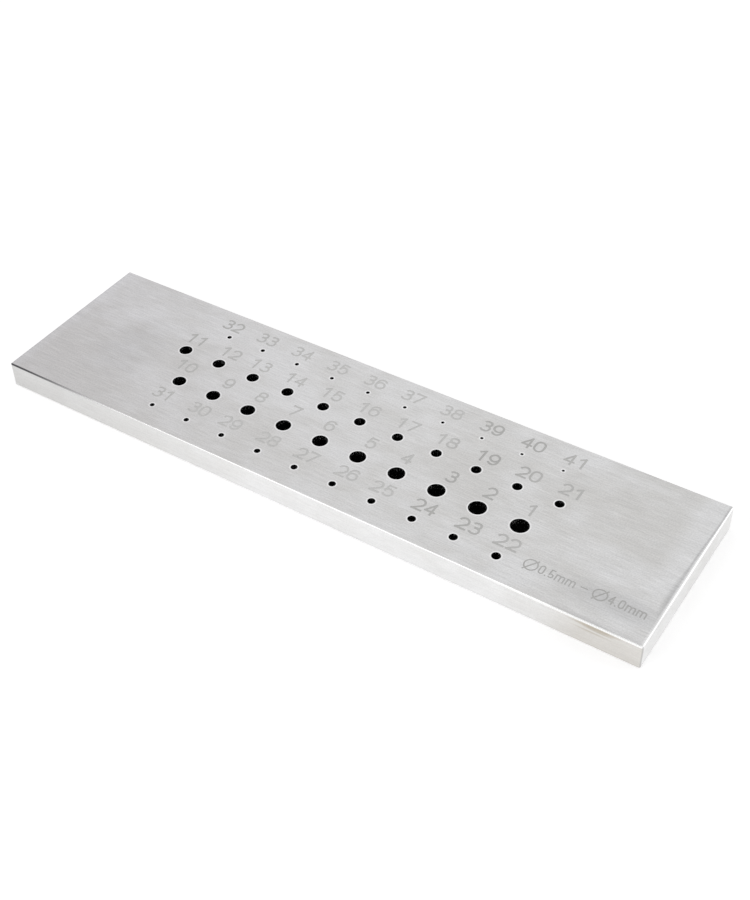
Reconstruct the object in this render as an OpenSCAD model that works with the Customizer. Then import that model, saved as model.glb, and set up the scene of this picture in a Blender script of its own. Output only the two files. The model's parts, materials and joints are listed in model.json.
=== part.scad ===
// Wire draw plate: one flat bar of hardened steel with four rows of tapered round dies.
// Wire goes in at the wide mouths of the plain face and is pulled out of the numbered face.

/* [Plate] */
// Thickness of the plate
plate_t = 6.4; // [4.5:0.1:12]
// From the left end to the nearest hole centre
left_margin = 33.35; // [6:0.05:60]
// From the end of the size mark to the right end
right_margin = 2.85; // [1.5:0.05:30]
// From the front row's hole centres to the front edge
front_margin = 6.05; // [4:0.05:20]
// From the tops of the back row's numbers to the back edge
back_margin = 2.85; // [1.5:0.05:20]
// Radius of the four upright corners
corner_r = 0.8; // [0.5:0.1:3]
// Radius along the long edges of the two flat faces
side_edge_r = 0.25; // [0.1:0.05:0.9]
// Radius along the edges of the two flat faces at the ends
end_edge_r = 0.65; // [0.1:0.05:0.9]

/* [Die rows] */
// Distance between neighbouring holes in a row
hole_pitch = 10; // [8:0.1:16]
// Holes in the front row, the second row, the third row and the back row
row_holes = [10, 10, 11, 10]; // [2:1:14]
// How far the third row's right-hand hole stands to the right of the other rows' holes
third_row_shift = 4; // [0:0.1:5]
// Gaps from the numbers of the front, second and third rows to the holes behind them
row_clear = [1.7, 1.4, 2.525]; // [0.5:0.025:6]

/* [Dies] */
// Diameter of the largest die, number 1
die_largest = 4; // [3:0.1:5]
// Diameter of the last die of the three coarse rows
die_coarse_last = 1; // [0.8:0.05:1.5]
// Diameter of the smallest die, the last one of the back row
die_smallest = 0.5; // [0.3:0.05:0.7]
// Length of the straight land of a die, before the share of its diameter is added
land_least = 0.8; // [0.4:0.1:1.2]
// Share of a die's diameter that is added to its land
land_share = 0.2; // [0:0.05:0.4]
// Angle between the approach cone's wall and the die's axis
approach_angle = 8; // [4:0.5:12]
// Depth of the bell mouth at the plain face
bell_depth = 1.5; // [0.5:0.1:1.8]
// Angle between the bell mouth's wall and the die's axis
bell_angle = 30; // [20:1:40]

/* [Numbers] */
// Height of a number
number_h = 3.6; // [2:0.1:5]
// Width of one digit
number_w = 2.6; // [1.5:0.1:2.8]
// Gap between the two digits of a number
number_gap = 0.3; // [0.2:0.05:1]
// Stroke width of a number
number_stroke = 0.5; // [0.15:0.05:0.6]
// Gaps from the largest hole of the front, second, third and back rows to its number
number_rise = [1.75, 1.5, 1.4, 1.775]; // [0.5:0.025:4]

/* [Size mark] */
// From the right-hand column of holes to the size mark
mark_start = 5.5; // [4:0.1:20]
// Height of the size mark's base line above the front row's hole centres
mark_rise = 0.3; // [-1:0.1:4]
// Height of the size mark's digits
mark_h = 2.4; // [1.5:0.05:3.5]
// Width of the size mark's digits
mark_w = 1.25; // [1:0.05:2]
// Gap between the signs of the size mark
mark_gap = 0.3; // [0.2:0.05:1]
// Stroke width of the size mark
mark_stroke = 0.3; // [0.1:0.05:0.35]

/* [Engraving] */
// Depth of the engraved strokes
engrave_depth = 0.1; // [0.05:0.01:0.3]
// How far the marking fill lies below the numbered face
fill_recess = 0.03; // [0:0.01:0.04]
// Gap between the marking fill and the walls of its groove
fill_clear = 0.01; // [0.005:0.005:0.03]

/* [Hidden] */
$fn = 64;
// How far a cutting shape runs past the face that it cuts
over = 1;

// Rows from the front edge to the back edge
FRONT = 0;
SECOND = 1;
THIRD = 2;
BACK = 3;

// Die numbers start at the right end of the second row, come back along the third row,
// go out again along the front row and end along the back row
row_first = [
    1 + row_holes[SECOND] + row_holes[THIRD],
    1,
    1 + row_holes[SECOND],
    1 + row_holes[SECOND] + row_holes[THIRD] + row_holes[FRONT]
];
row_counts_left = [true, true, false, false];
row_shift = [0, 0, third_row_shift, 0];
die_count = row_holes[FRONT] + row_holes[SECOND] + row_holes[THIRD] + row_holes[BACK];

// Each number stands a little to one side of its hole, as set out by eye, in the row's counting order
number_nudge = [
    [0.2, 1.2, 0.6, 0.1, 1, 0.3, 0, -0.6, 0.4, -0.2],
    [0, 0.3, 0.8, -0.4, 0.2, -0.8, -0.5, 0.1, 0.6, -2],
    [-0.1, 0.1, -1, -0.9, -0.6, -0.4, -0.2, 0.1, 0.3, 0.5, 0.7],
    [-1.7, -1.4, -1.1, -0.8, -0.4, -0.2, 0.1, 0.4, 0.8, 1.1]
];

// Die sizes fall in even steps, large ones over the three coarse rows and small ones along the back row
coarse_step = (die_largest - die_coarse_last) / (row_first[BACK] - 2);
fine_step = (die_coarse_last - die_smallest) / row_holes[BACK];
function row_of(n) =
    n >= row_first[BACK] ? BACK :
    n >= row_first[FRONT] ? FRONT :
    n >= row_first[THIRD] ? THIRD : SECOND;
function die_d(n) =
    n < row_first[BACK]
        ? die_largest - (n - 1) * coarse_step
        : die_coarse_last - (n - row_first[BACK] + 1) * fine_step;
function land(n) = land_least + land_share * die_d(n);

// Heights of the rows above the front row: hole, number, gap and next hole, one after another
function largest_r(row) = die_d(row_first[row]) / 2;
function number_base(row) = largest_r(row) + number_rise[row];
function row_step(row) = number_base(row) + number_h + row_clear[row] + largest_r(row + 1);
function row_height(row) = row == FRONT ? 0 : row_height(row - 1) + row_step(row - 1);

// The size mark gives the smallest and the largest die in millimetres
DIAMETER = "diameter";
POINT = "point";
MILLI = "m";
DASH = "dash";
function tenths(d) = [floor(round(10 * d) / 10), POINT, round(10 * d) % 10];
mark_signs = concat(
    [DIAMETER], tenths(die_smallest), [MILLI, MILLI, DASH],
    [DIAMETER], tenths(die_largest), [MILLI, MILLI]
);
ring_d = 1.33 * mark_h;
slash_l = 1.75 * mark_h;
slash_angle = 56;
letter_h = 0.73 * mark_h;
function sign_w(sign) =
    sign == DIAMETER ? ring_d :
    sign == POINT ? mark_stroke :
    sign == MILLI ? 1.62 * mark_w :
    sign == DASH ? 2.45 * mark_w : mark_w;
function sign_x(i) = i == 0 ? 0 : sign_x(i - 1) + sign_w(mark_signs[i - 1]) + mark_gap;
mark_last = len(mark_signs) - 1;
mark_l = sign_x(mark_last) + sign_w(mark_signs[mark_last]);

// The plate's outline follows from its holes, its numbers and its margins
column_span = max([for (row = [FRONT:BACK]) (row_holes[row] - 1) * hole_pitch - row_shift[row]]);
right_reach = mark_start + mark_l + right_margin;
plate_l = left_margin + column_span + right_reach;
plate_w = front_margin + row_height(BACK) + number_base(BACK) + number_h + back_margin;
first_column_x = plate_l / 2 - right_reach;
front_row_y = front_margin - plate_w / 2;
function row_y(row) = front_row_y + row_height(row);
function place(n) = n - row_first[row_of(n)];
function steps_left(n) =
    let (row = row_of(n))
    row_counts_left[row] ? place(n) : row_holes[row] - 1 - place(n);
function die_x(n) = first_column_x + row_shift[row_of(n)] - steps_left(n) * hole_pitch;
function die_y(n) = row_y(row_of(n));
function nudge(n) =
    let (row_nudge = number_nudge[row_of(n)])
    row_nudge[place(n) % len(row_nudge)];

function two_figures(n) = str(n < 10 ? "0" : "", n);
function number_node(n) = str("number_", two_figures(n));

// Straight stroke of width s from point p to point q
module bar(p, q, s) {
    run = q - p;
    translate(p)
        rotate(atan2(run[1], run[0]))
            translate([0, -s / 2])
                square([norm(run), s]);
}

// Disc that is drawn out to the right by a straight run
module slot(r, run) {
    circle(r);
    if (run > 0) {
        translate([run, 0])
            circle(r);
        translate([0, -r])
            square([run, 2 * r]);
    }
}

// Whole round stroke of width s about point c, drawn out to the right by a straight run
module loop(c, r, s, run = 0) {
    translate(c)
        difference() {
            slot(r + s / 2, run);
            slot(r - s / 2, run);
        }
}

// The part of such a stroke that lies between two angles about point c, anticlockwise
module bow(c, r, from, to, s, run = 0) {
    reach = 4 * (r + s + run);
    corner_turn = (to - from) / 3;
    intersection() {
        loop(c, r, s, run);
        translate(c)
            polygon(concat([[0, 0]], [
                for (k = [0:3])
                    reach * [cos(from + k * corner_turn), sin(from + k * corner_turn)]
            ]));
    }
}

// One digit on a centre line w wide and h high, drawn with a stroke of width s
module digit(k, w, h, s) {
    r = w / 2;
    upper_r = 0.235 * h;
    lower_r = h / 2 - upper_r + s / 10;
    lobe_run = max(0, w - 2 * lower_r);
    lobe_x = (w - lobe_run) / 2;
    hook_end = 155;
    if (k == 0) {
        bow([r, h - r], r, 0, 180, s);
        bow([r, r], r, 180, 360, s);
        bar([0, r], [0, h - r], s);
        bar([w, r], [w, h - r], s);
    }
    if (k == 1) {
        stem_x = 0.62 * w;
        flag_tip = [0.05 * w, 0.75 * h];
        bar([stem_x, -s / 2], [stem_x, h + s / 2], s);
        bar([stem_x, h], flag_tip, s);
    }
    if (k == 2) {
        // The neck crosses the bow's centre line just inside its outermost reach, so the strokes overlap
        head = [r, h - r];
        head_end = 165;
        reach = r - s / 20;
        neck_l = sqrt(head * head - reach * reach) + sqrt(r * r - reach * reach);
        lean = atan2(head[1], head[0]) - asin(reach / norm(head));
        bow(head, r, lean - 90, head_end, s);
        bar([0, 0], neck_l * [cos(lean), sin(lean)], s);
        bar([-s / 2, 0], [w + s / 2, 0], s);
    }
    if (k == 3) {
        waist_end = 100;
        bow([lobe_x, h - upper_r], upper_r, -waist_end, hook_end, s, lobe_run);
        bow([lobe_x, lower_r], lower_r, -hook_end, waist_end, s, lobe_run);
    }
    if (k == 4) {
        stem_x = 0.74 * w;
        beam_y = 0.27 * h;
        bar([stem_x, -s / 2], [stem_x, h + s / 2], s);
        bar([-s / 2, beam_y], [w + s / 2, beam_y], s);
        bar([0, beam_y], [stem_x, h], s);
    }
    if (k == 5) {
        back_x = 0.2 * w;
        back_foot = [0.08 * w, 1.15 * r];
        bow_end = 145;
        bar([back_x, h], [w, h], s);
        bar([back_x, h + s / 2], back_foot, s);
        bow([r, r], r, -hook_end, bow_end, s);
    }
    if (k == 6) {
        loop([r, r], r, s);
        bar([0, r], [0, h - r], s);
        bow([r, h - r], r, 180 - hook_end, 180, s);
    }
    if (k == 7) {
        foot = [0.3 * w, -0.3 * s];
        bar([-s / 2, h], [w + s / 2, h], s);
        bar([w, h], foot, s);
    }
    if (k == 8) {
        loop([lobe_x, h - upper_r], upper_r, s, lobe_run);
        loop([lobe_x, lower_r], lower_r, s, lobe_run);
    }
    if (k == 9) {
        loop([r, h - r], r, s);
        bar([w, r], [w, h - r], s);
        bow([r, r], r, -hook_end, 0, s);
    }
}

// A digit whose strokes of width s fill a box w wide and h high, drawn inset from those strokes
module boxed_digit(k, w, h, s, inset) {
    translate([s / 2, s / 2])
        digit(k, w - s, h - s, s - 2 * inset);
}

// Number n with its base line on y = 0 and its middle on x = 0
module number_outline(n, inset) {
    figures = n < 10 ? [n] : [floor(n / 10), n % 10];
    advance = number_w + number_gap;
    for (i = [0:len(figures) - 1])
        translate([i * advance - (len(figures) * advance - number_gap) / 2, 0])
            boxed_digit(figures[i], number_w, number_h, number_stroke, inset);
}

// The small letter m: three legs under two arches
module letter_m(w, h, s, inset) {
    pen = s - 2 * inset;
    leg_gap = (w - s) / 2;
    arch_r = leg_gap / 2;
    arch_y = h - s / 2 - arch_r;
    for (i = [0:2])
        bar([s / 2 + i * leg_gap, inset], [s / 2 + i * leg_gap, i == 0 ? h - inset : arch_y], pen);
    for (i = [0:1])
        bow([s / 2 + arch_r + i * leg_gap, arch_y], arch_r, 0, 180, pen);
}

// One sign of the size mark with its base line on y = 0, drawn inset from its strokes
module sign_outline(sign, inset) {
    w = sign_w(sign);
    s = mark_stroke;
    pen = s - 2 * inset;
    middle = [w / 2, mark_h / 2];
    if (sign == DIAMETER) {
        half_slash = (slash_l / 2 - inset) * [cos(slash_angle), sin(slash_angle)];
        loop(middle, (ring_d - s) / 2, pen);
        bar(middle - half_slash, middle + half_slash, pen);
    } else if (sign == POINT) {
        translate([inset, inset])
            square(pen);
    } else if (sign == MILLI) {
        letter_m(w, letter_h, s, inset);
    } else if (sign == DASH) {
        half_dash = [w / 4 - inset, 0];
        bar(middle - half_dash, middle + half_dash, pen);
    } else {
        boxed_digit(sign, w, mark_h, s, inset);
    }
}

module size_mark_outline(inset) {
    for (i = [0:mark_last])
        translate([sign_x(i), 0])
            sign_outline(mark_signs[i], inset);
}

// Puts a number's outline beside its hole
module at_number(n) {
    translate([die_x(n) + nudge(n), die_y(n) + number_base(row_of(n))])
        children();
}

// Puts the size mark's outline at the right end
module at_size_mark() {
    translate([first_column_x + mark_start, front_row_y + mark_rise])
        children();
}

// Cuts an outline into the numbered face
module engraving() {
    translate([0, 0, plate_t - engrave_depth])
        linear_extrude(engrave_depth + over)
            children();
}

// Fills an engraved outline from its floor up
module engraving_fill() {
    translate([0, 0, plate_t - engrave_depth])
        linear_extrude(engrave_depth - fill_recess)
            children();
}

// Rectangle about the origin with rounded corners
module rounded_rectangle(l, w, r) {
    square([l - 2 * r, w], center = true);
    square([l, w - 2 * r], center = true);
    for (x = [-1, 1], y = [-1, 1])
        translate([x * (l / 2 - r), y * (w / 2 - r)])
            circle(r);
}

// The bar before its holes are made, rounded along all its edges
module bare_bar() {
    intersection() {
        linear_extrude(plate_t)
            rounded_rectangle(plate_l, plate_w, corner_r);
        translate([0, plate_w / 2, plate_t / 2])
            rotate([90, 0, 0])
                linear_extrude(plate_w)
                    rounded_rectangle(plate_l, plate_t, end_edge_r);
        translate([-plate_l / 2, 0, plate_t / 2])
            rotate([90, 0, 90])
                linear_extrude(plate_l)
                    rounded_rectangle(plate_w, plate_t, side_edge_r);
    }
}

// The hole of die n: bell mouth at the plain face, approach cone, then straight land
module die_hole(n) {
    land_r = die_d(n) / 2;
    land_z = plate_t - land(n);
    throat_r = land_r + (land_z - bell_depth) * tan(approach_angle);
    mouth_r = throat_r + (bell_depth + over) * tan(bell_angle);
    translate([die_x(n), die_y(n)])
        rotate_extrude()
            polygon([
                [0, -over],
                [mouth_r, -over],
                [throat_r, bell_depth],
                [land_r, land_z],
                [land_r, plate_t + over],
                [0, plate_t + over]
            ]);
}

module plate() {
    color("silver")
        difference() {
            bare_bar();
            for (n = [1:die_count])
                die_hole(n);
            for (n = [1:die_count])
                engraving()
                    at_number(n)
                        number_outline(n, 0);
            engraving()
                at_size_mark()
                    size_mark_outline(0);
        }
}

module number(n) {
    color("dimgray")
        engraving_fill()
            at_number(n)
                number_outline(n, fill_clear);
}

module size_mark() {
    color("dimgray")
        engraving_fill()
            at_size_mark()
                size_mark_outline(fill_clear);
}

plate();
for (n = [1:die_count])
    number(n);
size_mark();
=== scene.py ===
"""Wire draw plate: the finish of its steel, its marking and a plain studio round it."""
import json
import math

import bpy
from bpy.props import FloatProperty, FloatVectorProperty, PointerProperty
from mathutils import Matrix, Vector


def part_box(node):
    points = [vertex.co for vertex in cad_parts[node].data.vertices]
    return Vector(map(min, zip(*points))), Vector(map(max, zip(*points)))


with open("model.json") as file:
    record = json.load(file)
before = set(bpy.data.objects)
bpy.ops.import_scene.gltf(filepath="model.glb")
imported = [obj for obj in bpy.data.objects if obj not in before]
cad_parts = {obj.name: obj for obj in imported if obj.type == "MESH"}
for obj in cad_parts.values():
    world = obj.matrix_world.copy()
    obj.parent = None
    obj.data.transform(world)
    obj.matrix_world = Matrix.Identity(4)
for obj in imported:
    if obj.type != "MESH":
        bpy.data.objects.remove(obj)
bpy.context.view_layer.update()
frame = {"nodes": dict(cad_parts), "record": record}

bl_info = {
    "name": "Wire draw plate",
    "version": (1, 0, 0),
    "blender": (4, 5, 0),
    "location": "3D View > Sidebar > Draw plate",
    "description": "Dresses a wire draw plate in brushed steel and sets a plain studio round it",
    "category": "Object",
}

MM = 0.001
PLATE = "plate"
SIZE_MARK = "size_mark"
NUMBERS = sorted(name for name in frame["nodes"] if name.startswith("number_"))
VECTOR = "NodeSocketVector"
FLOAT = "NodeSocketFloat"
WHITE = (1.0, 1.0, 1.0, 1.0)

# The plate's extent in its own frame, in metres and then in millimetres
PLATE_LOW, PLATE_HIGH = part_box(PLATE)
CENTRE = (PLATE_LOW + PLATE_HIGH) / 2 / MM
HALF_SIZE = (PLATE_HIGH - PLATE_LOW) / 2 / MM
RIGHT = PLATE_HIGH.x / MM
FRONT = PLATE_LOW.y / MM
TOP = PLATE_HIGH.z / MM

# Brushed grain: lean, stretch and detail of each layer, and how far each effect lightens and darkens
GRAIN_LAYERS = (
    (0.02, (1.0, 1.0, 1.0), 3.0),
    (-0.035, (1.6, 0.7, 0.7), 2.0),
    (0.005, (0.25, 0.2, 0.2), 2.0))
GRAIN_ROUGHNESS = 0.6
SECOND_LAYER_SHARE = 0.4
SPECKLES_PER_WIDTH = 0.45
SPECKLE_SHARE_OF_HEIGHT = 0.4
GRAIN_CONTRAST = {"Lines": 0.095, "Streak": 0.03, "Speckle": 0.06}
NOISE_SPAN = (0.3, 0.7)
ROUGHNESS_SPREAD = 0.05
STEEL_BUMP = 0.06
STEEL_BUMP_HEIGHT = 0.05 * MM

# Soft clouds: their stretch, the scale and share of each closer layer, and the place in the noise that
# they are taken from, where they lie most like the real plate's
CLOUD_STRETCH = (0.6, 1.0, 1.0)
CLOUD_LAYERS = ((2.9, 0.5), (9.0, 0.3))
CLOUD_SPAN = (0.38, 0.62)
CLOUD_SHIFT = (94.0, 831.0, 2977.0)

# Faces: how far a normal lies along X on the ends and along Z on the flat faces, and what calms the sides
FACE_SLOPE = 0.7
SIDE_STRENGTH = 0.55
SIDE_CLOUD = 0.55

# Brighter and darker zones of the numbered face, in millimetres: bands of painted sheen along its ends,
# where a band starts and is full, each patch's middle, reach and strength, and the shares of its reach
# between which it fades
RIGHT_SHEEN = (74.5, 78.5)
RIGHT_SHEEN_START = (-11.0, -1.0)
RIGHT_SHEEN_STRENGTH = 0.78
LEFT_SHEEN = (-80.5, -78.8)
LEFT_SHEEN_STRENGTH = 0.4
BRIGHT_PATCHES = (
    ((66.0, -6.0), (18.0, 6.0), 0.5),
    ((54.0, -18.0), (11.0, 6.0), 0.5))
BRIGHT_FADE = (0.2, 1.1)
DARKER_PATCHES = (
    ((73.2, -15.1), (15.0, 4.4), 0.17),
    ((-61.0, -2.0), (11.0, 14.0), 0.085))
DARKER_PATCH_FADE = (0.2, 1.15)
PATCH_DEPTH = 1.0

# Polished edges, in millimetres from the edge, below the numbered face or along the plate. Their colour is
# whitened as a painted highlight, and a band low on the right of the front edge is only a painted
# highlight.
# At the back the right end's polish is as wide as a multiple of the long edges', and it is full over a
# share of its width.
POLISH_CORE = 0.1
END_POLISH_NARROWS = (2.0, 18.0)
END_POLISH_NARROW = 1.5
END_POLISH_CORE = 0.5
END_POLISH_DEPTH = (0.15, 0.4)
LOW_HIGHLIGHT_ALONG = (42.0, 58.0)
LOW_HIGHLIGHT_MIDDLE = 0.35
LOW_HIGHLIGHT_BAND = (0.1, 0.3)
SIDE_HIGHLIGHT = 0.45
END_HIGHLIGHT = 0.8

# Painted shade at the upright corners and the upper edges, and a darker left end, in the same way, with
# the strength of each, and how level the face of the dark line is
CORNER_BAND = (0.05, 0.5)
CORNER_SHADE = 0.6
LEFT_END_BAND = (0.1, 0.6)
LEFT_END_DARKENING = 0.3
FRONT_EDGE_ALONG = (-80.0, -46.0)
FRONT_EDGE_BAND = (0.2, 0.42)
FRONT_EDGE_SHADE = 0.97
ROLL_ALONG = (58.0, 68.0)
ROLL_FADE = (RIGHT - 9.0, RIGHT - 3.0)
ROLL_AT_CORNER = 0.5
ROLL_DEPTH = (0.1, 0.25)
ROLL_BAND = (0.2, 1.2)
ROLL_SHADE = 0.2
LINE_START = (-18.0, -10.0)
LINE_NARROWS = (-6.0, 3.0)
LINE_WIDTH = (1.3, 0.5)
LINE_SLOPE = 0.9
LINE_SHADE = 0.25

# Stain on the front side: its middle on the upper edge, its reach, its film and its upper limit in
# millimetres, its fade and ragged edge in shares of its reach, and the range of Y normals where it ends
STAIN_MIDDLE = (RIGHT - 10.0, FRONT, TOP)
STAIN_REACH = (8.0, 2.6, 4.6)
STAIN_FADE = (0.1, 1.0)
STAIN_STRENGTH = 0.75
STAIN_RAGGEDNESS = 0.2
STAIN_FILM_ALONG = (RIGHT - 24.0, RIGHT - 11.0)
STAIN_FILM_STRENGTH = 0.3
STAIN_SLOPE = (-0.9, -0.5)
STAIN_TOP = (TOP - 0.75, TOP - 0.35)

# Dies, in millimetres: where the painted shade of the walls begins below the numbered face and ends above
# the plain one, how far it reaches past the land, the blur of the rim's painted shade and of its painted
# highlight ring, and the scores in the land, whose lighter specks are partly painted highlights
WALL_DEPTH = (0.002, 0.02)
MOUTH_HEIGHT = (0.2, 1.5)
WALL_REACH = 1.35
RIM_SHADE_BLUR = 0.03
RING_BLUR = 0.1
LAND_START = (TOP - 1.5, TOP - 0.9)
SCORE_STRETCH = (1.0, 1.0, 0.5)
SCORES_PER_MM = 3.0
SCORE_DETAIL = 3.0
SCORE_SPAN = (0.52, 0.66)
WALL_ROUGHNESS = 0.6

# Marking fill: where handling has worn the numbers, in millimetres, the share of patches and the speckle
WORN_START = (-61.5, -26.0)
WORN_SLANT = 0.3
WORN_END = (21.0, 27.0)
LAST_COLUMN = (37.0, 46.0)
LAST_COLUMN_WEAR = 0.5
PATCH_SHARE = 0.25
FILL_SPECKLES_PER_MM = 6.0
FILL_SHADE = (0.92, 1.06)
FILL_ROUGHNESS = (0.5, 0.68)
FILL_BUMP = 0.1
FILL_BUMP_HEIGHT = 0.02 * MM

# Floor, in metres: its size and height, where it turns plain white, how strongly it glows for the camera,
# the blur of its dark under the plate, and the longest ray that counts as one from the plate's underside
FLOOR_HALF = 6.0
FLOOR_HEIGHT = -0.05 * MM
FLOOR_FADE = (0.25, 0.5)
FLOOR_LIFT = 0.35
UNDER_PLATE_BLUR = 1 * MM
UNDERSIDE_RAY = 0.5 * MM

# Lift of the floor as the steel's sides mirror it: along the plate, past its right end and in front of it
MIRROR_ALONG = (-125 * MM, 0.0)
MIRROR_ALONG_LIFT = (0.13, 0.40)
MIRROR_PAST_END = (PLATE_HIGH.x, PLATE_HIGH.x + 12 * MM)
MIRROR_PAST_END_DROP = 0.075
MIRROR_IN_FRONT = 10 * MM
MIRROR_IN_FRONT_LIFT = (-0.045, 0.025)

# Studio: ranges of the mirrored direction, across and up, and the lamps' places and sizes in metres
CEILING_UP = (0.1, 0.45)
RIGHT_SIDE_ACROSS = (-0.5, -0.15)
RIGHT_SIDE_DIMMING = 0.935
DARK_SIDE_ACROSS = (-0.70, -0.455)
KEY_PLACE = (-0.276, -0.536, 0.446)
KEY_SIZE = 0.39
RIM_PLACE = (0.5, 0.45, 0.33)
RIM_SIZE = 0.4

# The photograph's frame in pixels and the camera that took it, in the plate's own frame
PICTURE_WIDTH = 750
PICTURE_HEIGHT = 900
SENSOR = 36.0
FOCAL_PIXELS = 1393.9
OPTICAL_AXIS = (332.15, 447.22)
CAMERA_PLACE = (134.825 * MM, -190.675 * MM, 212.9 * MM)
CAMERA_HEADING = math.radians(-36.07)
CAMERA_DIP = math.radians(42.17)
CAMERA_ROLL = math.radians(-3.0)
CLIP_START = 10 * MM


class DRAWPLATE_PG_steel(bpy.types.PropertyGroup):
    """Finish of the steel bar."""

    tone: FloatVectorProperty(
        name="Tone", description="Colour of the brushed steel where it is brightest",
        subtype="COLOR", size=3, min=0.0, max=1.0, default=(0.838, 0.838, 0.842))
    shade: FloatVectorProperty(
        name="Shade", description="Colour of the soft darker clouds in the brushed steel",
        subtype="COLOR", size=3, min=0.0, max=1.0, default=(0.741, 0.734, 0.722))
    # The die walls and a thin band on each rim are painted shade, nearly black, and the lighter scores in
    # the lands are partly painted highlights
    bore_shade_tone: FloatVectorProperty(
        name="Bore tone", description="Colour of the walls inside the dies",
        subtype="COLOR", size=3, min=0.0, max=1.0, default=(0.003, 0.003, 0.003))
    score_and_glint_tone: FloatVectorProperty(
        name="Score tone", description="Colour of the fine scores in the lands of the dies",
        subtype="COLOR", size=3, min=0.0, max=1.0, default=(0.35, 0.35, 0.35))
    stain_tone: FloatVectorProperty(
        name="Stain tone", description="Colour of the warm stain on the front side",
        subtype="COLOR", size=3, min=0.0, max=1.0, default=(0.40, 0.345, 0.255))
    # Painted shade at the corners and edges, the darker left end and the darker patches take this colour
    shade_and_darkening_tone: FloatVectorProperty(
        name="Tarnish tone", description="Colour of the tarnish at the corners, edges and dull patches",
        subtype="COLOR", size=3, min=0.0, max=1.0, default=(0.08, 0.08, 0.085))
    grain_width: FloatProperty(
        name="Grain width", description="Width of one brushed line",
        unit="LENGTH", min=0.02 * MM, max=2 * MM, default=0.16 * MM)
    grain_length: FloatProperty(
        name="Grain length", description="Length of one brushed line",
        unit="LENGTH", min=1 * MM, max=60 * MM, default=6 * MM)
    cloud_size: FloatProperty(
        name="Cloud size", description="Distance between the soft lighter and darker patches",
        unit="LENGTH", min=5 * MM, max=200 * MM, default=38 * MM)
    # The polished edges are also whitened, a painted highlight
    edge_width: FloatProperty(
        name="Edge width", description="Width of the polish along the long edges",
        unit="LENGTH", min=0.1 * MM, max=3 * MM, default=0.35 * MM)
    end_edge_width: FloatProperty(
        name="End edge width", description="Width of the polish along the right end where it is widest",
        unit="LENGTH", min=0.1 * MM, max=5 * MM, default=1.0 * MM)
    # The dark band on each die's rim is painted shade
    rim_shade_width: FloatProperty(
        name="Film width", description="Width of the dark film on the rim of each die",
        unit="LENGTH", min=0.0, max=0.5 * MM, default=0.075 * MM)
    # The bright ring round each die is a painted highlight
    highlight_ring_width: FloatProperty(
        name="Ring width", description="Width of the bright ring that wire has polished round each die",
        unit="LENGTH", min=0.05 * MM, max=2 * MM, default=0.3 * MM)
    roughness: FloatProperty(
        name="Roughness", description="Mean roughness of the brushed faces",
        subtype="FACTOR", min=0.05, max=1.0, default=0.34)
    edge_roughness: FloatProperty(
        name="Edge roughness", description="Roughness of the polished edges",
        subtype="FACTOR", min=0.05, max=1.0, default=0.22)


class DRAWPLATE_PG_marking(bpy.types.PropertyGroup):
    """Finish of the fill in the engraved strokes."""

    tone: FloatVectorProperty(
        name="Tone", description="Colour of the marking fill",
        subtype="COLOR", size=3, min=0.0, max=1.0, default=(0.476, 0.473, 0.461))
    worn_tone: FloatVectorProperty(
        name="Worn tone", description="Colour of the marking fill where it has worn thin",
        subtype="COLOR", size=3, min=0.0, max=1.0, default=(0.638, 0.635, 0.626))
    patch_size: FloatProperty(
        name="Patch size", description="Distance between worn and fresh patches of the fill",
        unit="LENGTH", min=1 * MM, max=100 * MM, default=14 * MM)


class DRAWPLATE_PG_studio(bpy.types.PropertyGroup):
    """Floor and lights."""

    floor_tone: FloatVectorProperty(
        name="Floor tone", description="Colour of the floor",
        subtype="COLOR", size=3, min=0.0, max=1.0, default=(0.9, 0.9, 0.9))
    ceiling: FloatProperty(
        name="Ceiling", description="Brightness of the studio overhead, as the steel mirrors it",
        subtype="FACTOR", min=0.0, max=1.0, default=0.83)
    dark_side: FloatVectorProperty(
        name="Dark side", description="Colour of the studio's left side, as the steel mirrors it",
        subtype="COLOR", size=3, min=0.0, max=1.0, default=(0.602, 0.585, 0.61))
    fill: FloatProperty(
        name="Fill", description="Brightness of the even light from all round",
        subtype="FACTOR", min=0.0, max=2.0, default=0.75)
    key_power: FloatProperty(
        name="Key power", description="Power of the soft light at the front left",
        unit="POWER", min=0.0, max=50.0, default=0.53)
    rim_power: FloatProperty(
        name="Rim power", description="Power of the soft light at the back right",
        unit="POWER", min=0.0, max=50.0, default=0.25)


class DRAWPLATE_PG_settings(bpy.types.PropertyGroup):
    """All the settings of the draw plate's scene."""

    steel: PointerProperty(
        name="Steel", description="Finish of the steel bar", type=DRAWPLATE_PG_steel)
    marking: PointerProperty(
        name="Marking", description="Finish of the marking fill", type=DRAWPLATE_PG_marking)
    studio: PointerProperty(
        name="Studio", description="Floor and lights", type=DRAWPLATE_PG_studio)


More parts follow.
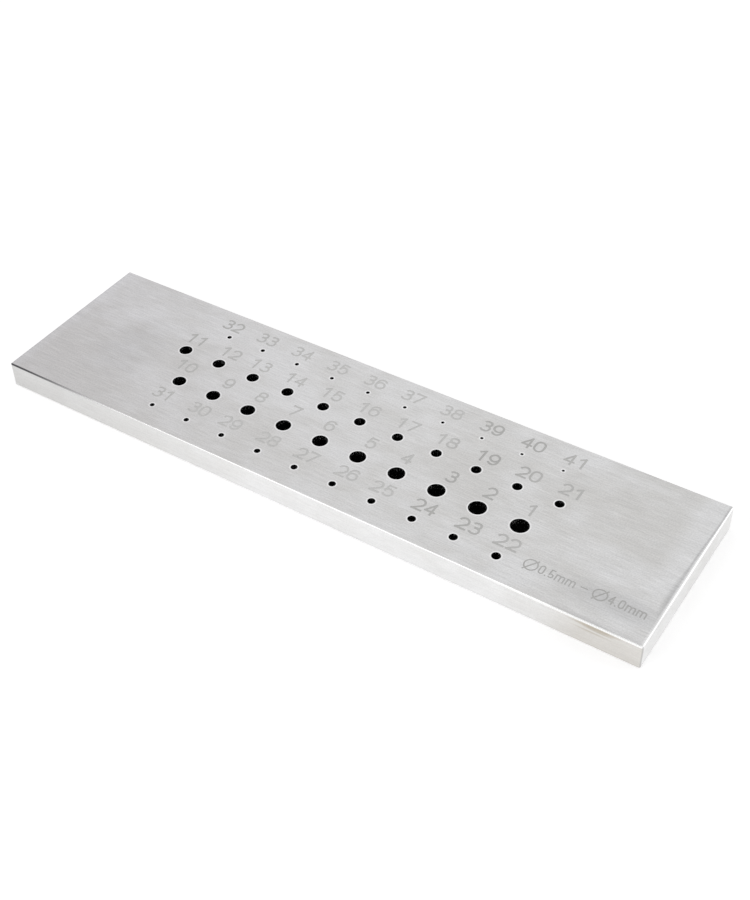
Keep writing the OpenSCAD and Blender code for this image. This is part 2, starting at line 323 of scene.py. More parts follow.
class NodeSheet:
    """A node tree with short calls that add a node, set or join its inputs and give back its output."""

    def __init__(self, tree):
        self.tree = tree

    def put(self, socket, value):
        """Joins a socket to another one, or sets its own value."""
        if isinstance(value, bpy.types.NodeSocket):
            self.tree.links.new(value, socket)
        else:
            socket.default_value = value

    def add(self, kind, inputs=None, **settings):
        """A new node with its settings and, by name or place, its inputs."""
        node = self.tree.nodes.new(kind)
        for name, value in settings.items():
            setattr(node, name, value)
        for name, value in (inputs or {}).items():
            self.put(node.inputs[name], value)
        return node

    def math(self, operation, first, second=0.0):
        """One sum, difference or other operation on numbers."""
        return self.add("ShaderNodeMath", {0: first, 1: second}, operation=operation).outputs[0]

    def times(self, first, *others):
        """The product of two or more numbers."""
        for other in others:
            first = self.math("MULTIPLY", first, other)
        return first

    def largest(self, first, *others):
        """The largest of two or more numbers."""
        for other in others:
            first = self.math("MAXIMUM", first, other)
        return first

    def vector_math(self, operation, *vectors):
        """One sum, difference or other operation on vectors."""
        node = self.add("ShaderNodeVectorMath", dict(enumerate(vectors)), operation=operation)
        return node.outputs["Vector"]

    def scaled(self, vector, factors):
        """A vector whose parts are multiplied by factors."""
        return self.vector_math("MULTIPLY", vector, factors)

    def length(self, vector):
        """The length of a vector."""
        return self.add("ShaderNodeVectorMath", {0: vector}, operation="LENGTH").outputs["Value"]

    def parts(self, vector):
        """The three parts of a vector."""
        return self.add("ShaderNodeSeparateXYZ", {0: vector}).outputs

    def joined(self, x, y, z):
        """A vector made of three numbers."""
        return self.add("ShaderNodeCombineXYZ", {0: x, 1: y, 2: z}).outputs[0]

    def noise(self, vector, scale, detail=2.0, roughness=0.5):
        """Soft noise from 0 to 1."""
        node = self.add("ShaderNodeTexNoise", {
            "Vector": vector, "Scale": scale, "Detail": detail, "Roughness": roughness})
        return node.outputs[0]

    def ease(self, value, low, high, to_low=0.0, to_high=1.0):
        """A smooth step: to_low up to low, to_high from high on."""
        node = self.add("ShaderNodeMapRange", {
            "Value": value, "From Min": low, "From Max": high, "To Min": to_low, "To Max": to_high},
            interpolation_type="SMOOTHSTEP")
        return node.outputs[0]

    def mix_colour(self, factor, first, second, blend="MIX"):
        """A colour between two others."""
        node = self.add("ShaderNodeMix", data_type="RGBA", blend_type=blend)
        self.put(node.inputs["Factor"], factor)
        self.put(node.inputs[6], first)
        self.put(node.inputs[7], second)
        return node.outputs[2]

    def mix_value(self, factor, first, second):
        """A number between two others."""
        node = self.add("ShaderNodeMix", {0: factor, 2: first, 3: second}, data_type="FLOAT")
        return node.outputs[0]

    def mix_vector(self, factor, first, second):
        """A vector between two others."""
        node = self.add("ShaderNodeMix", {0: factor, 4: first, 5: second}, data_type="VECTOR")
        return node.outputs[1]

    def shaded(self, colour, factor):
        """A colour times a number."""
        return self.mix_colour(1.0, colour, self.joined(factor, factor, factor), "MULTIPLY")


def rgba(colour):
    """A colour property as the four numbers that a colour socket takes."""
    return (*colour, 1.0)


def node_group(name, inputs, outputs):
    """An empty shader node group with named sockets: its sheet, its given values and its results."""
    tree = bpy.data.node_groups.new(name, "ShaderNodeTree")
    for socket, kind in inputs.items():
        tree.interface.new_socket(socket, in_out="INPUT", socket_type=kind)
    for socket, kind in outputs.items():
        tree.interface.new_socket(socket, in_out="OUTPUT", socket_type=kind)
    sheet = NodeSheet(tree)
    return sheet, sheet.add("NodeGroupInput").outputs, sheet.add("NodeGroupOutput").inputs


def use_group(sheet, name, inputs):
    """Places a node group in a tree and gives back its outputs."""
    node = sheet.add("ShaderNodeGroup")
    node.node_tree = bpy.data.node_groups[name]
    for socket, value in inputs.items():
        sheet.put(node.inputs[socket], value)
    return node.outputs


def leaning(sheet, place, lean):
    """A place whose lines along X lean a little towards Y."""
    x, y, z = sheet.parts(place)
    return sheet.joined(x, sheet.math("ADD", y, sheet.times(x, lean)), z)


def make_grain_group():
    """Brushed grain in millimetres: lines and streaks along X, or along Y on the ends, and a speckle."""
    sheet, given, out = node_group(
        "Brushed grain",
        {"Place": VECTOR, "End": FLOAT, "Length": FLOAT, "Width": FLOAT},
        {"Lines": FLOAT, "Streak": FLOAT, "Speckle": FLOAT, "Height": FLOAT})
    x, y, z = sheet.parts(given["Place"])
    along = sheet.mix_vector(given["End"], given["Place"], sheet.joined(y, x, z))
    per_length = sheet.math("DIVIDE", 1.0, given["Length"])
    per_width = sheet.math("DIVIDE", 1.0, given["Width"])
    scale = sheet.joined(per_length, per_width, per_width)
    layers = []
    for lean, stretch, detail in GRAIN_LAYERS:
        stretched = sheet.scaled(leaning(sheet, along, lean), sheet.scaled(scale, stretch))
        layers.append(sheet.noise(stretched, 1.0, detail, GRAIN_ROUGHNESS))
    first, second, streak = layers
    lines = sheet.mix_value(SECOND_LAYER_SHARE, first, second)
    per_speckle = sheet.times(per_width, SPECKLES_PER_WIDTH)
    speckle = sheet.noise(given["Place"], per_speckle, roughness=GRAIN_ROUGHNESS)
    sheet.put(out["Lines"], lines)
    sheet.put(out["Streak"], streak)
    sheet.put(out["Speckle"], speckle)
    sheet.put(out["Height"], sheet.mix_value(SPECKLE_SHARE_OF_HEIGHT, lines, speckle))


def make_cloud_group():
    """Soft clouds: three noises of different size, drawn out along X, spread to the range from 0 to 1."""
    sheet, given, out = node_group("Soft clouds", {"Place": VECTOR, "Size": FLOAT}, {"Cloud": FLOAT})
    per_size = sheet.math("DIVIDE", 1.0, given["Size"])
    place = sheet.scaled(given["Place"], CLOUD_STRETCH)
    mixed = sheet.noise(place, per_size, detail=1.0)
    for scale, share in CLOUD_LAYERS:
        mixed = sheet.mix_value(share, mixed, sheet.noise(place, sheet.times(per_size, scale)))
    sheet.put(out["Cloud"], sheet.ease(mixed, *CLOUD_SPAN))


def make_edge_group():
    """Distances to the nearest end edge, long edge and upright corner, each the larger of two faces'."""
    sheet, given, out = node_group(
        "Nearest edges", {"Place": VECTOR, "Centre": VECTOR, "Half size": VECTOR},
        {"End edge": FLOAT, "Long edge": FLOAT, "Corner": FLOAT})
    offset = sheet.vector_math("SUBTRACT", given["Place"], given["Centre"])
    from_centre = sheet.vector_math("ABSOLUTE", offset)
    x, y, z = sheet.parts(sheet.vector_math("SUBTRACT", given["Half size"], from_centre))
    sheet.put(out["End edge"], sheet.largest(x, z))
    sheet.put(out["Long edge"], sheet.largest(y, z))
    sheet.put(out["Corner"], sheet.largest(x, y))


def make_die_row_group():
    """Distance to the rim of the nearest die in one row whose radii change in even steps."""
    sheet, given, out = node_group(
        "Die row",
        {"Place": VECTOR, "Row": FLOAT, "First": FLOAT, "Pitch": FLOAT, "Last step": FLOAT,
         "Radius": FLOAT, "Radius step": FLOAT},
        {"Distance": FLOAT})
    x, y, _ = sheet.parts(given["Place"])
    steps = sheet.math("DIVIDE", sheet.math("SUBTRACT", given["First"], x), given["Pitch"])
    steps = sheet.largest(sheet.math("ROUND", steps), 0.0)
    steps = sheet.math("MINIMUM", steps, given["Last step"])
    middle = sheet.math("SUBTRACT", given["First"], sheet.times(steps, given["Pitch"]))
    across = sheet.math("SUBTRACT", x, middle)
    upward = sheet.math("SUBTRACT", y, given["Row"])
    off_axis = sheet.length(sheet.joined(across, upward, 0.0))
    radius = sheet.math("ADD", given["Radius"], sheet.times(steps, given["Radius step"]))
    sheet.put(out["Distance"], sheet.math("SUBTRACT", off_axis, radius))


def die_rows():
    """The rows of dies from the record: row height, right-hand die, pitch and radii, in millimetres."""
    rows = {}
    for mount in frame["record"]["mounts"]:
        if mount["kind"] == "bore":
            x, y, _ = mount["pos_m"]
            rows.setdefault(round(y / MM, 3), []).append((x / MM, mount["dims"]["r_mm"]))
    settings = []
    for row, dies in rows.items():
        dies.sort(reverse=True)
        (first, radius), (second, second_radius) = dies[:2]
        settings.append({
            "Row": row, "First": first, "Pitch": first - second, "Last step": len(dies) - 1.0,
            "Radius": radius, "Radius step": second_radius - radius})
    return settings


def make_nearest_die_group():
    """Distance to the rim of the nearest die in any row."""
    sheet, given, out = node_group("Nearest die", {"Place": VECTOR}, {"Distance": FLOAT})
    nearest = None
    for row in die_rows():
        distance = use_group(sheet, "Die row", {"Place": given["Place"], **row})["Distance"]
        nearest = distance if nearest is None else sheet.math("MINIMUM", nearest, distance)
    sheet.put(out["Distance"], nearest)


def new_material(name):
    """A new material: itself, its node sheet, its Principled shader and its place in millimetres."""
    material = bpy.data.materials.new(name)
    material.use_nodes = True
    sheet = NodeSheet(material.node_tree)
    shader = material.node_tree.nodes["Principled BSDF"]
    place = sheet.scaled(sheet.add("ShaderNodeTexCoord").outputs["Object"], (1 / MM, 1 / MM, 1 / MM))
    return material, sheet, shader, place


def add_bump(sheet, shader, strength, distance, height):
    """Gives a shader the bump of a height."""
    bump = sheet.add("ShaderNodeBump", {"Strength": strength, "Distance": distance, "Height": height})
    sheet.put(shader.inputs["Normal"], bump.outputs[0])


def away_from(sheet, place, spot, reach):
    """Distance from a spot, counted in reaches along X, Y and Z."""
    return sheet.length(sheet.vector_math("DIVIDE", sheet.vector_math("SUBTRACT", place, spot), reach))


def soft_patch(sheet, place, middle, reach, fade, strength):
    """Mask of a patch on the numbered face that fades out between two shares of its reach."""
    away = away_from(sheet, place, (*middle, TOP), (*reach, PATCH_DEPTH))
    return sheet.ease(away, *fade, strength, 0.0)


def sheen_and_bright_patches(sheet, place):
    """Mask of the numbered face's brighter zones: painted sheen in bands along its ends, and patches near
    the size mark.
    """
    x, y, _ = sheet.parts(place)
    right = sheet.times(
        sheet.ease(x, *RIGHT_SHEEN, 0.0, RIGHT_SHEEN_STRENGTH), sheet.ease(y, *RIGHT_SHEEN_START))
    bright = sheet.math("ADD", right, sheet.ease(x, *LEFT_SHEEN, LEFT_SHEEN_STRENGTH, 0.0))
    for middle, reach, strength in BRIGHT_PATCHES:
        patch = soft_patch(sheet, place, middle, reach, BRIGHT_FADE, strength)
        bright = sheet.math("ADD", bright, patch)
    return bright


def darker_patches(sheet, place):
    """Mask of the darker patches of the numbered face, at the size mark and near the left end."""
    return sheet.largest(*(
        soft_patch(sheet, place, middle, reach, DARKER_PATCH_FADE, strength)
        for middle, reach, strength in DARKER_PATCHES))


def grained_tone(sheet, settings, place, grain, flat):
    """Colour of the bare steel: clouds between two tones, times the grain, both calmer on the sides."""
    strength = sheet.mix_value(flat, SIDE_STRENGTH, 1.0)
    shifted = sheet.vector_math("ADD", place, CLOUD_SHIFT)
    cloud = use_group(sheet, "Soft clouds", {"Place": shifted, "Size": settings.cloud_size / MM})["Cloud"]
    # Painted sheen along the ends, and brighter patches, lighten the clouds on the flat faces
    cloud = sheet.math("ADD", cloud, sheet.times(flat, sheen_and_bright_patches(sheet, place)))
    cloud = sheet.mix_value(strength, SIDE_CLOUD, cloud)
    colour = sheet.mix_colour(cloud, rgba(settings.shade), rgba(settings.tone))
    for layer, contrast in GRAIN_CONTRAST.items():
        shade = sheet.ease(grain[layer], *NOISE_SPAN, 1.0 - contrast, 1.0 + contrast)
        colour = sheet.shaded(colour, sheet.mix_value(strength, 1.0, shade))
    return colour


def upper_half(sheet, place):
    """Masks of the plate's upper half: all of it, its front, its right and its left."""
    x, y, z = sheet.parts(place)
    upper = sheet.math("GREATER_THAN", z, CENTRE.z)
    front = sheet.times(upper, sheet.math("LESS_THAN", y, 0.0))
    right = sheet.times(upper, sheet.math("GREATER_THAN", x, 0.0))
    left = sheet.math("SUBTRACT", upper, right)
    return upper, front, right, left


def end_polish_width(sheet, settings, place):
    """Width of the polish and painted highlight along the right end in millimetres, which narrows towards
    the back.
    """
    y = sheet.parts(place)[1]
    narrow = END_POLISH_NARROW * settings.edge_width / MM
    return sheet.ease(y, *END_POLISH_NARROWS, settings.end_edge_width / MM, narrow)


def polish_and_highlight_edges(sheet, settings, place, edges, end_width):
    """Masks of the polish and painted highlight on the long edges and on the right end, and of a painted
    highlight low on the right of the front edge.
    """
    x, _, z = sheet.parts(place)
    upper, front, right, _ = upper_half(sheet, place)
    depth = sheet.math("SUBTRACT", TOP, z)
    on_sides = sheet.times(
        upper, sheet.ease(edges["Long edge"], POLISH_CORE, settings.edge_width / MM, 1.0, 0.0))
    end_core = sheet.times(end_width, END_POLISH_CORE)
    on_end = sheet.times(
        right, sheet.ease(edges["End edge"], end_core, end_width, 1.0, 0.0),
        sheet.ease(depth, *END_POLISH_DEPTH, 1.0, 0.0))
    off_middle = sheet.math("ABSOLUTE", sheet.math("SUBTRACT", edges["Long edge"], LOW_HIGHLIGHT_MIDDLE))
    low = sheet.times(
        front, sheet.ease(off_middle, *LOW_HIGHLIGHT_BAND, 1.0, 0.0),
        sheet.ease(depth, *ROLL_DEPTH), sheet.ease(x, *LOW_HIGHLIGHT_ALONG))
    return on_sides, on_end, low


def edge_shade_and_darkening(sheet, place, facing_z, edges, end_width, end_polish_and_highlight):
    """Mask of the painted shade at the upright corners and the upper edges.

    The left end is a little darker, and the front edge carries a painted dark reflection at its left. Near
    the right end the front edge is rolled over and carries painted shade on top. Inside the right end's
    polish lies a painted dark line.
    """
    x, y, z = sheet.parts(place)
    _, front, right, left = upper_half(sheet, place)
    corners = sheet.ease(edges["Corner"], *CORNER_BAND, CORNER_SHADE, 0.0)
    left_end = sheet.times(left, sheet.ease(edges["End edge"], *LEFT_END_BAND, LEFT_END_DARKENING, 0.0))
    front_edge = sheet.times(
        front, sheet.ease(edges["Long edge"], *FRONT_EDGE_BAND, 1.0, 0.0),
        sheet.ease(x, *FRONT_EDGE_ALONG, FRONT_EDGE_SHADE, 0.0))
    rolled = sheet.times(
        front, sheet.ease(x, *ROLL_ALONG), sheet.ease(x, *ROLL_FADE, 1.0, ROLL_AT_CORNER),
        sheet.ease(sheet.math("SUBTRACT", TOP, z), *ROLL_DEPTH, 1.0, 0.0),
        sheet.ease(edges["Long edge"], *ROLL_BAND, ROLL_SHADE, 0.0))
    past_polish = sheet.math("SUBTRACT", edges["End edge"], end_width)
    line_width = sheet.ease(y, *LINE_NARROWS, *LINE_WIDTH)
    line = sheet.times(
        right, sheet.ease(past_polish, 0.0, line_width, LINE_SHADE, 0.0),
        sheet.math("SUBTRACT", 1.0, end_polish_and_highlight),
        sheet.math("GREATER_THAN", facing_z, LINE_SLOPE), sheet.ease(y, *LINE_START))
    return sheet.largest(corners, left_end, front_edge, rolled, line)


def front_stain(sheet, place, facing_y, streak):
    """Mask of the stain at the right of the front side: a dark spot under the edge and a pale film."""
    x, _, z = sheet.parts(place)
    ragged = sheet.ease(streak, *NOISE_SPAN, -STAIN_RAGGEDNESS, STAIN_RAGGEDNESS)
    away = sheet.math("ADD", away_from(sheet, place, STAIN_MIDDLE, STAIN_REACH), ragged)
    spot = sheet.ease(away, *STAIN_FADE, STAIN_STRENGTH, 0.0)
    film = sheet.ease(x, *STAIN_FILM_ALONG, 0.0, STAIN_FILM_STRENGTH)
    on_front = sheet.ease(facing_y, *STAIN_SLOPE, 1.0, 0.0)
    under_edge = sheet.ease(z, *STAIN_TOP, 1.0, 0.0)
    return sheet.times(sheet.largest(spot, film), on_front, under_edge)


def die_shade(sheet, settings, place, die):
    """Mask of the painted shade on the dies' walls and rims, and its colour with scores in the lands.

    The walls lie near a die's axis, below the numbered face. Their mouths in the plain face are bare.
    """
    z = sheet.parts(place)[2]
    # The thin dark band on each rim is painted shade
    film = settings.rim_shade_width / MM
    walls = sheet.times(
        sheet.ease(sheet.math("SUBTRACT", TOP, z), *WALL_DEPTH), sheet.ease(z, *MOUTH_HEIGHT),
        sheet.math("LESS_THAN", die, WALL_REACH))
    rim = sheet.ease(die, film - RIM_SHADE_BLUR, film + RIM_SHADE_BLUR, 1.0, 0.0)
    # The lighter scores in the lands are partly painted highlights
    score_noise = sheet.noise(sheet.scaled(place, SCORE_STRETCH), SCORES_PER_MM, SCORE_DETAIL)
    scores = sheet.times(sheet.ease(score_noise, *SCORE_SPAN), sheet.ease(z, *LAND_START))
    colour = sheet.mix_colour(scores, rgba(settings.bore_shade_tone), rgba(settings.score_and_glint_tone))
    return sheet.largest(walls, rim), colour


def brushed_steel(settings):
    """Brushed steel: grain along the bar, soft clouds, polished edges with painted highlights, painted
    highlight rings round the dies, and painted shade on the die walls and at edges.
    """
    material, sheet, shader, place = new_material("Brushed steel")
    facing_x, facing_y, facing_z = sheet.parts(sheet.add("ShaderNodeTexCoord").outputs["Normal"])
    end = sheet.math("GREATER_THAN", sheet.math("ABSOLUTE", facing_x), FACE_SLOPE)
    flat = sheet.math("GREATER_THAN", sheet.math("ABSOLUTE", facing_z), FACE_SLOPE)
    grain = use_group(sheet, "Brushed grain", {
        "Place": place, "End": end,
        "Length": settings.grain_length / MM, "Width": settings.grain_width / MM})
    edges = use_group(sheet, "Nearest edges", {
        "Place": place, "Centre": (0.0, 0.0, CENTRE.z), "Half size": tuple(HALF_SIZE)})
    die = use_group(sheet, "Nearest die", {"Place": place})["Distance"]
    colour = grained_tone(sheet, settings, place, grain, flat)

    end_width = end_polish_width(sheet, settings, place)
    side_polish_and_highlight, end_polish_and_highlight, low_highlight = polish_and_highlight_edges(sheet, settings, place, edges, end_width)
    polish = sheet.largest(side_polish_and_highlight, end_polish_and_highlight, low_highlight)
    # The ring round each die is whitened, a painted highlight
    ring = (settings.rim_shade_width + settings.highlight_ring_width) / MM
    rim_highlight = sheet.ease(die, ring - RING_BLUR, ring + RING_BLUR, 1.0, 0.0)
    # Painted highlights: the polished edges and a band low on the front edge are whitened, as is each
    # die's ring
    painted_highlight = sheet.largest(
        sheet.times(side_polish_and_highlight, SIDE_HIGHLIGHT), sheet.times(end_polish_and_highlight, END_HIGHLIGHT),
        sheet.times(low_highlight, END_HIGHLIGHT), rim_highlight)
    colour = sheet.mix_colour(painted_highlight, colour, WHITE)

    stain = front_stain(sheet, place, facing_y, grain["Streak"])
    stain = sheet.times(stain, sheet.math("SUBTRACT", 1.0, polish))
    colour = sheet.mix_colour(stain, colour, rgba(settings.stain_tone))
    # Painted shade at the corners and edges, and the darker patches
    shade_and_darkening = edge_shade_and_darkening(sheet, place, facing_z, edges, end_width, end_polish_and_highlight)
    shade_and_darkening = sheet.largest(shade_and_darkening, darker_patches(sheet, place))
    colour = sheet.mix_colour(shade_and_darkening, colour, rgba(settings.shade_and_darkening_tone))
    bore, bore_shade_colour = die_shade(sheet, settings, place, die)
    sheet.put(shader.inputs["Base Color"], sheet.mix_colour(bore, colour, bore_shade_colour))

    smooth = settings.roughness - ROUGHNESS_SPREAD
    coarse = settings.roughness + ROUGHNESS_SPREAD
    rough = sheet.ease(grain["Streak"], *NOISE_SPAN, smooth, coarse)
    rough = sheet.mix_value(polish, rough, settings.edge_roughness)
    sheet.put(shader.inputs["Roughness"], sheet.mix_value(bore, rough, WALL_ROUGHNESS))
    shader.inputs["Metallic"].default_value = 1.0
    add_bump(sheet, shader, STEEL_BUMP, STEEL_BUMP_HEIGHT, grain["Height"])
    return material


def handled_rows(sheet, place):
    """Mask of the worn fill in the number rows: in their middle and, less so, in their last column."""
    x, y, _ = sheet.parts(place)
    slanted = sheet.math("SUBTRACT", x, sheet.times(y, WORN_SLANT))
    middle = sheet.times(sheet.ease(slanted, *WORN_START), sheet.ease(x, *WORN_END, 1.0, 0.0))
    return sheet.largest(middle, sheet.ease(x, *LAST_COLUMN, 0.0, LAST_COLUMN_WEAR))


def marking_fill(name, settings, handled=None):
    """Matt warm grey fill, worn thin in patches and where a mask function says, with a fine speckle."""
    material, sheet, shader, place = new_material(name)
    patches = use_group(sheet, "Soft clouds", {"Place": place, "Size": settings.patch_size / MM})["Cloud"]
    worn = sheet.mix_value(PATCH_SHARE, handled(sheet, place) if handled else 0.0, patches)
    toned = sheet.mix_colour(worn, rgba(settings.tone), rgba(settings.worn_tone))
    speckle = sheet.noise(place, FILL_SPECKLES_PER_MM)
    shade = sheet.ease(speckle, *NOISE_SPAN, *FILL_SHADE)
    sheet.put(shader.inputs["Base Color"], sheet.shaded(toned, shade))
    sheet.put(shader.inputs["Roughness"], sheet.ease(speckle, *NOISE_SPAN, *FILL_ROUGHNESS))
    add_bump(sheet, shader, FILL_BUMP, FILL_BUMP_HEIGHT, speckle)
    return material


def dress(node, material):
    """Gives every material slot of a node the material."""
    slots = frame["nodes"][node].material_slots
    if not slots:
        raise RuntimeError(f"node {node} has no material slot")
    for slot in slots:
        slot.material = material


def floor_mesh(half, height):
    """One flat square about the Z axis at a height."""
    mesh = bpy.data.meshes.new("floor")
    corners = [(-half, -half, height), (half, -half, height), (half, half, height), (-half, half, height)]
    mesh.from_pydata(corners, [], [(0, 1, 2, 3)])
    return mesh


def backdrop_rays(sheet, path):
    """1 for the rays that see the backdrop: camera, glossy and transmission rays."""
    return sheet.largest(path["Is Camera Ray"], path["Is Glossy Ray"], path["Is Transmission Ray"])


def beside_plate(sheet, x, y):
    """Mask of the floor beside the plate: 0 under it and 1 from its outline on."""
    beside_ends = sheet.ease(sheet.math("ABSOLUTE", x), PLATE_HIGH.x - UNDER_PLATE_BLUR, PLATE_HIGH.x)
    beside_sides = sheet.ease(sheet.math("ABSOLUTE", y), PLATE_HIGH.y - UNDER_PLATE_BLUR, PLATE_HIGH.y)
    return sheet.largest(beside_ends, beside_sides)


def mirrored_lift(sheet, x, y):
    """Lift of the floor in the steel's sides: less to the left, past the right end and close in front."""
    along = sheet.ease(x, *MIRROR_ALONG, *MIRROR_ALONG_LIFT)
    past_end = sheet.ease(x, *MIRROR_PAST_END, 0.0, MIRROR_PAST_END_DROP)
    in_front = sheet.math("SUBTRACT", PLATE_LOW.y, y)
    in_front = sheet.ease(in_front, 0.0, MIRROR_IN_FRONT, *MIRROR_IN_FRONT_LIFT)
    return sheet.math("ADD", sheet.math("SUBTRACT", along, past_end), in_front)


def floor_material(settings):
    """Pale floor that is dark under the plate, takes its shadow near by and is plain white far off.

    It can't be seen from below, nor in the plate's own underside, which lies too close to it.
    """
    material = bpy.data.materials.new("Pale floor")
    material.use_nodes = True
    sheet = NodeSheet(material.node_tree)
    sheet.tree.nodes.clear()
    place = sheet.add("ShaderNodeTexCoord").outputs["Object"]
    path = sheet.add("ShaderNodeLightPath").outputs
    x, y, _ = sheet.parts(place)
    beside = beside_plate(sheet, x, y)
    seen = backdrop_rays(sheet, path)

    lit = sheet.add("ShaderNodeBsdfDiffuse", {"Color": rgba(settings.floor_tone)}).outputs[0]
    lift = sheet.mix_value(path["Is Glossy Ray"], FLOOR_LIFT, mirrored_lift(sheet, x, y))
    lift = sheet.times(seen, lift, beside)
    lifted = sheet.add("ShaderNodeEmission", {"Color": WHITE, "Strength": lift}).outputs[0]
    near = sheet.add("ShaderNodeAddShader", {0: lit, 1: lifted}).outputs[0]
    white = sheet.add("ShaderNodeEmission", {"Color": WHITE, "Strength": 1.0}).outputs[0]
    far = sheet.times(sheet.ease(sheet.length(place), *FLOOR_FADE), seen)
    surface = sheet.add("ShaderNodeMixShader", {0: far, 1: near, 2: white}).outputs[0]

    close = sheet.math("LESS_THAN", path["Ray Length"], UNDERSIDE_RAY)
    from_underside = sheet.times(close, sheet.math("SUBTRACT", path["Is Glossy Ray"], beside))
    from_below = sheet.add("ShaderNodeNewGeometry").outputs["Backfacing"]
    unseen = sheet.largest(from_below, from_underside)
    clear = sheet.add("ShaderNodeBsdfTransparent").outputs[0]
    surface = sheet.add("ShaderNodeMixShader", {0: unseen, 1: surface, 2: clear}).outputs[0]
    sheet.add("ShaderNodeOutputMaterial", {"Surface": surface})
    return material


def studio_world(settings):
    """White backdrop low down, a dimmer ceiling and left side in the steel, and an even fill light."""
    world = bpy.data.worlds.new("Studio")
    world.use_nodes = True
    bpy.context.scene.world = world
    sheet = NodeSheet(world.node_tree)
    sheet.tree.nodes.clear()
    across, _, up = sheet.parts(sheet.add("ShaderNodeTexCoord").outputs["Generated"])
    path = sheet.add("ShaderNodeLightPath").outputs
    overhead = sheet.mix_value(sheet.ease(up, *CEILING_UP), 1.0, settings.ceiling)
    overhead = sheet.times(overhead, sheet.ease(across, *RIGHT_SIDE_ACROSS, 1.0, RIGHT_SIDE_DIMMING))
    dark_side = sheet.ease(across, *DARK_SIDE_ACROSS, 1.0, 0.0)
    mirrored = sheet.mix_colour(
        dark_side, sheet.joined(overhead, overhead, overhead), rgba(settings.dark_side))
    backdrop = sheet.mix_colour(path["Is Glossy Ray"], WHITE, mirrored)
    strength = sheet.mix_value(backdrop_rays(sheet, path), settings.fill, 1.0)
    light = sheet.add("ShaderNodeBackground", {"Color": backdrop, "Strength": strength}).outputs[0]
    sheet.add("ShaderNodeOutputWorld", {"Surface": light})


def soft_light(name, place, size, power):
    """A square soft light that faces the plate and that the camera doesn't see."""
    lamp = bpy.data.lights.new(name, "AREA")
    lamp.shape = "SQUARE"
    lamp.size = size
    lamp.energy = power
    light = bpy.data.objects.new(name, lamp)
    bpy.context.scene.collection.objects.link(light)
    light.location = place
    light.rotation_mode = "QUATERNION"
    light.rotation_quaternion = (-Vector(place)).to_track_quat("-Z", "Y")
    light.visible_camera = False


def photo_camera():
    """The photograph's camera: heading, dip and roll, with the optical axis a little off the middle."""
    lens = bpy.data.cameras.new("Camera")
    lens.sensor_width = SENSOR
    lens.lens = FOCAL_PIXELS * SENSOR / PICTURE_HEIGHT
    lens.shift_x = (PICTURE_WIDTH / 2 - OPTICAL_AXIS[0]) / PICTURE_HEIGHT
    lens.shift_y = (OPTICAL_AXIS[1] - PICTURE_HEIGHT / 2) / PICTURE_HEIGHT
    lens.clip_start = CLIP_START
    camera = bpy.data.objects.new("Camera", lens)
    bpy.context.scene.collection.objects.link(camera)
    turn = Matrix.Rotation(-CAMERA_HEADING, 4, "Z")
    tip = Matrix.Rotation(math.pi / 2 - CAMERA_DIP, 4, "X")
    roll = Matrix.Rotation(CAMERA_ROLL, 4, "Z")
    camera.matrix_world = Matrix.Translation(CAMERA_PLACE) @ turn @ tip @ roll
    bpy.context.scene.camera = camera


class DRAWPLATE_OT_stage(bpy.types.Operator):
    """Sets the floor, the studio's light and the camera"""

    bl_idname = "draw_plate.stage"
    bl_label = "Set the stage"

    def execute(self, context):
        settings = context.scene.draw_plate.studio
        context.scene.view_settings.view_transform = "Standard"
        floor = bpy.data.objects.new("floor", floor_mesh(FLOOR_HALF, FLOOR_HEIGHT))
        context.scene.collection.objects.link(floor)
        floor.data.materials.append(floor_material(settings))
        studio_world(settings)
        soft_light("key", KEY_PLACE, KEY_SIZE, settings.key_power)
        soft_light("rim", RIM_PLACE, RIM_SIZE, settings.rim_power)
        photo_camera()
        return {"FINISHED"}


class DRAWPLATE_OT_plate(bpy.types.Operator):
    """Makes the shared effects and dresses the bar in brushed steel with painted shade on the die walls"""

    bl_idname = "draw_plate.plate"
    bl_label = "Dress the plate"

    def execute(self, context):
        for make in (make_grain_group, make_cloud_group, make_edge_group, make_die_row_group,
                     make_nearest_die_group):
            make()
        dress(PLATE, brushed_steel(context.scene.draw_plate.steel))
        return {"FINISHED"}


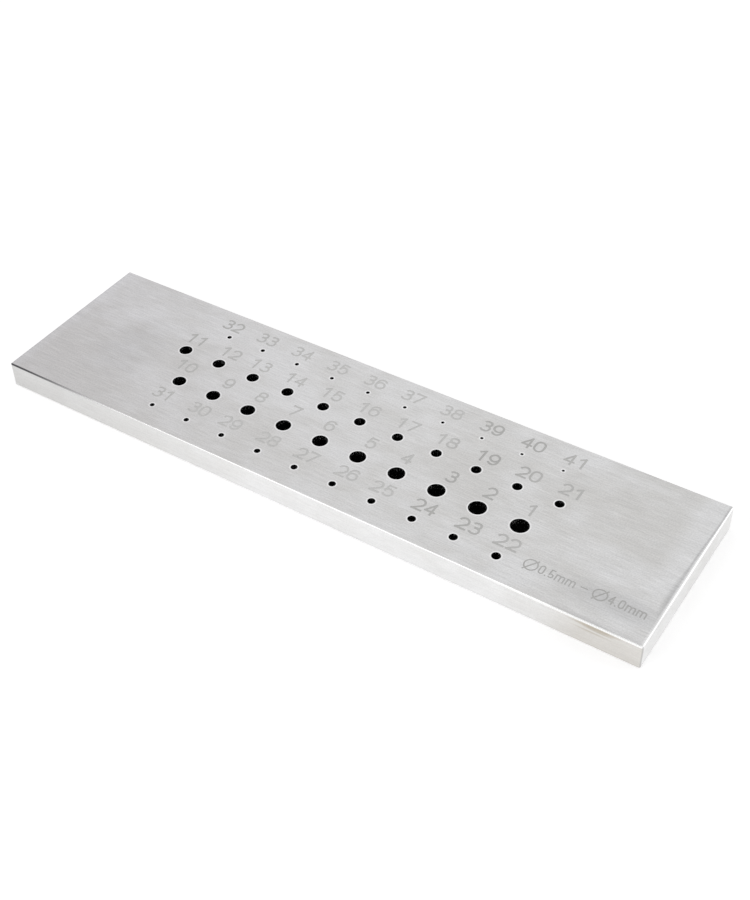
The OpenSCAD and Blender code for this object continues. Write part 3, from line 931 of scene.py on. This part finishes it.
class DRAWPLATE_OT_numbers(bpy.types.Operator):
    """Dresses the numbers in warm grey fill that handling has worn"""

    bl_idname = "draw_plate.numbers"
    bl_label = "Dress the numbers"

    def execute(self, context):
        fill = marking_fill("Number fill", context.scene.draw_plate.marking, handled_rows)
        for node in NUMBERS:
            dress(node, fill)
        return {"FINISHED"}


class DRAWPLATE_OT_size_mark(bpy.types.Operator):
    """Dresses the size mark in warm grey fill"""

    bl_idname = "draw_plate.size_mark"
    bl_label = "Dress the size mark"

    def execute(self, context):
        dress(SIZE_MARK, marking_fill("Size mark fill", context.scene.draw_plate.marking))
        return {"FINISHED"}


class DRAWPLATE_PT_panel(bpy.types.Panel):
    """Settings and steps of the draw plate's scene"""

    bl_idname = "DRAWPLATE_PT_panel"
    bl_label = "Draw plate"
    bl_space_type = "VIEW_3D"
    bl_region_type = "UI"
    bl_category = "Draw plate"

    def draw(self, context):
        settings = context.scene.draw_plate
        for heading, group, steps in (
                ("Studio", settings.studio, [DRAWPLATE_OT_stage]),
                ("Steel", settings.steel, [DRAWPLATE_OT_plate]),
                ("Marking", settings.marking, [DRAWPLATE_OT_numbers, DRAWPLATE_OT_size_mark])):
            box = self.layout.box()
            box.label(text=heading)
            for name in group.__annotations__:
                box.prop(group, name)
            for step in steps:
                box.operator(step.bl_idname)


CLASSES = (
    DRAWPLATE_PG_steel,
    DRAWPLATE_PG_marking,
    DRAWPLATE_PG_studio,
    DRAWPLATE_PG_settings,
    DRAWPLATE_OT_stage,
    DRAWPLATE_OT_plate,
    DRAWPLATE_OT_numbers,
    DRAWPLATE_OT_size_mark,
    DRAWPLATE_PT_panel,
)


def register():
    for kind in CLASSES:
        bpy.utils.register_class(kind)
    bpy.types.Scene.draw_plate = PointerProperty(
        name="Draw plate", description="Settings of the draw plate's scene", type=DRAWPLATE_PG_settings)


def unregister():
    del bpy.types.Scene.draw_plate
    for kind in reversed(CLASSES):
        bpy.utils.unregister_class(kind)


def main():
    register()
    bpy.ops.draw_plate.stage()
    bpy.ops.draw_plate.plate()
    bpy.ops.draw_plate.numbers()
    bpy.ops.draw_plate.size_mark()


if __name__ == "__main__":
    main()
